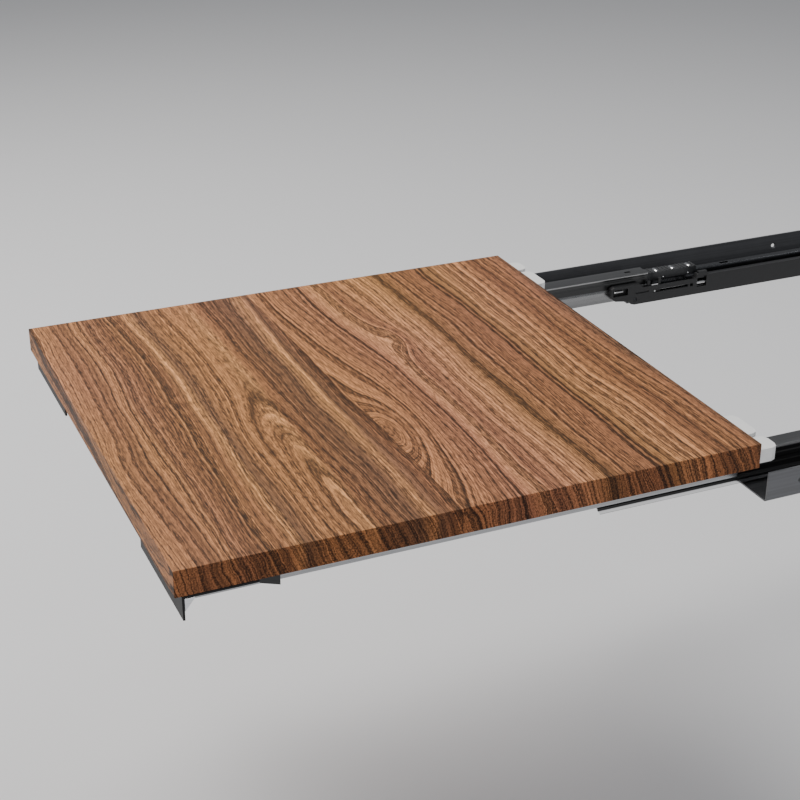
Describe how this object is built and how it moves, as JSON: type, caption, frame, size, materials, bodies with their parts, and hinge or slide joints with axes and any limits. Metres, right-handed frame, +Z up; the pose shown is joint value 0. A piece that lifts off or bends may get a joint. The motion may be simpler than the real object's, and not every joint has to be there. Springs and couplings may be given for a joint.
{
  "type": "pull-out board on drawer slides",
  "caption": "Wooden pull-out board on a left and right full-extension, soft-closing undermount drawer slide, shown fully pulled out.",
  "frame": {"origin": "middle of the board's top face, with the board fully pulled out", "axes": "+Y into the cabinet, the way the board closes; +X to the right, facing the cabinet; +Z up"},
  "size_m": [0.544, 1.12, 0.0638],
  "materials": {
    "walnut": "oiled",
    "dark_steel": "satin anthracite",
    "grey_steel": "satin",
    "zinc": "bright zinc plate",
    "black_steel": "satin black",
    "black_plastic": "fine matt",
    "grey_plastic": "satin",
    "white_plastic": "soft gloss",
    "bright_steel": "bright"
  },
  "bodies": {
    "cabinet_members": {"mounting_angle_left": "dark_steel", "running_rail_left": "grey_steel", "rail_end_stop_left": "black_plastic", "damper_housing_left": "black_plastic", "housing_screw_left": "bright_steel", "damper_cylinder_left": "bright_steel", "closing_spring_left": "bright_steel", "mounting_angle_right": "dark_steel", "running_rail_right": "grey_steel", "rail_end_stop_right": "black_plastic", "damper_housing_right": "black_plastic", "housing_screw_right": "bright_steel", "damper_cylinder_right": "bright_steel", "closing_spring_right": "bright_steel"},
    "pull_out_board": {"worktop_board": "walnut", "drawer_rail_left": "zinc", "front_bracket_left": "black_steel", "corner_brace_left": "zinc", "lever_rivet_left": "bright_steel", "rear_clip_left": "white_plastic", "clip_screw_left": "dark_steel", "striker_left": "black_plastic", "rail_screw_front_left": "bright_steel", "rail_screw_rear_left": "bright_steel", "bracket_screw_outer_left": "bright_steel", "bracket_screw_inner_left": "bright_steel", "drawer_rail_right": "zinc", "front_bracket_right": "black_steel", "corner_brace_right": "zinc", "lever_rivet_right": "bright_steel", "rear_clip_right": "white_plastic", "clip_screw_right": "dark_steel", "striker_right": "black_plastic", "rail_screw_front_right": "bright_steel", "rail_screw_rear_right": "bright_steel", "bracket_screw_outer_right": "bright_steel", "bracket_screw_inner_right": "bright_steel"},
    "intermediate_left": {"intermediate_rail_left": "zinc"},
    "outer_ball_cage_left": {"outer_cage_left": "grey_plastic"},
    "inner_ball_cage_left": {"inner_cage_left": "grey_plastic"},
    "catch_left": {"catch_slider_left": "black_plastic", "catch_pin_left": "bright_steel", "damper_rod_left": "bright_steel"},
    "lever_left": {"release_lever_left": "zinc", "lever_grip_left": "black_plastic"},
    "intermediate_right": {"intermediate_rail_right": "zinc"},
    "outer_ball_cage_right": {"outer_cage_right": "grey_plastic"},
    "inner_ball_cage_right": {"inner_cage_right": "grey_plastic"},
    "catch_right": {"catch_slider_right": "black_plastic", "catch_pin_right": "bright_steel", "damper_rod_right": "bright_steel"},
    "lever_right": {"release_lever_right": "zinc", "lever_grip_right": "black_plastic"}
  },
  "joints": [
    {"name": "board_slide", "type": "slide", "parent": "cabinet_members", "child": "pull_out_board", "axis": [0, 1, 0], "range_m": [0, 0.55]},
    {"name": "intermediate_slide_left", "type": "slide", "parent": "cabinet_members", "child": "intermediate_left", "axis": [0, 1, 0], "range_m": [0, 0.275]},
    {"name": "outer_cage_slide_left", "type": "slide", "parent": "cabinet_members", "child": "outer_ball_cage_left", "axis": [0, 1, 0], "range_m": [0, 0.1375]},
    {"name": "inner_cage_slide_left", "type": "slide", "parent": "cabinet_members", "child": "inner_ball_cage_left", "axis": [0, 1, 0], "range_m": [0, 0.4125]},
    {"name": "catch_slide_left", "type": "slide", "parent": "cabinet_members", "child": "catch_left", "axis": [0, 1, 0], "range_m": [0, 0.045], "deforming": ["closing_spring_left"]},
    {"name": "lever_pivot_left", "type": "hinge", "parent": "pull_out_board", "child": "lever_left", "pos_m": [-0.2628, -0.242, -0.0285], "axis": [0, 0, -1], "range_deg": [0, 5], "stiffness_Nm_per_rad": 0.3},
    {"name": "intermediate_slide_right", "type": "slide", "parent": "cabinet_members", "child": "intermediate_right", "axis": [0, 1, 0], "range_m": [0, 0.275]},
    {"name": "outer_cage_slide_right", "type": "slide", "parent": "cabinet_members", "child": "outer_ball_cage_right", "axis": [0, 1, 0], "range_m": [0, 0.1375]},
    {"name": "inner_cage_slide_right", "type": "slide", "parent": "cabinet_members", "child": "inner_ball_cage_right", "axis": [0, 1, 0], "range_m": [0, 0.4125]},
    {"name": "catch_slide_right", "type": "slide", "parent": "cabinet_members", "child": "catch_right", "axis": [0, 1, 0], "range_m": [0, 0.045], "deforming": ["closing_spring_right"]},
    {"name": "lever_pivot_right", "type": "hinge", "parent": "pull_out_board", "child": "lever_right", "pos_m": [0.2628, -0.242, -0.0285], "axis": [0, 0, 1], "range_deg": [0, 5], "stiffness_Nm_per_rad": 0.3}
  ],
  "couplings": [
    {"joint": "intermediate_slide_left", "follows": "board_slide", "ratio": 0.5},
    {"joint": "outer_cage_slide_left", "follows": "board_slide", "ratio": 0.25},
    {"joint": "inner_cage_slide_left", "follows": "board_slide", "ratio": 0.75},
    {"joint": "intermediate_slide_right", "follows": "board_slide", "ratio": 0.5},
    {"joint": "outer_cage_slide_right", "follows": "board_slide", "ratio": 0.25},
    {"joint": "inner_cage_slide_right", "follows": "board_slide", "ratio": 0.75}
  ]
}
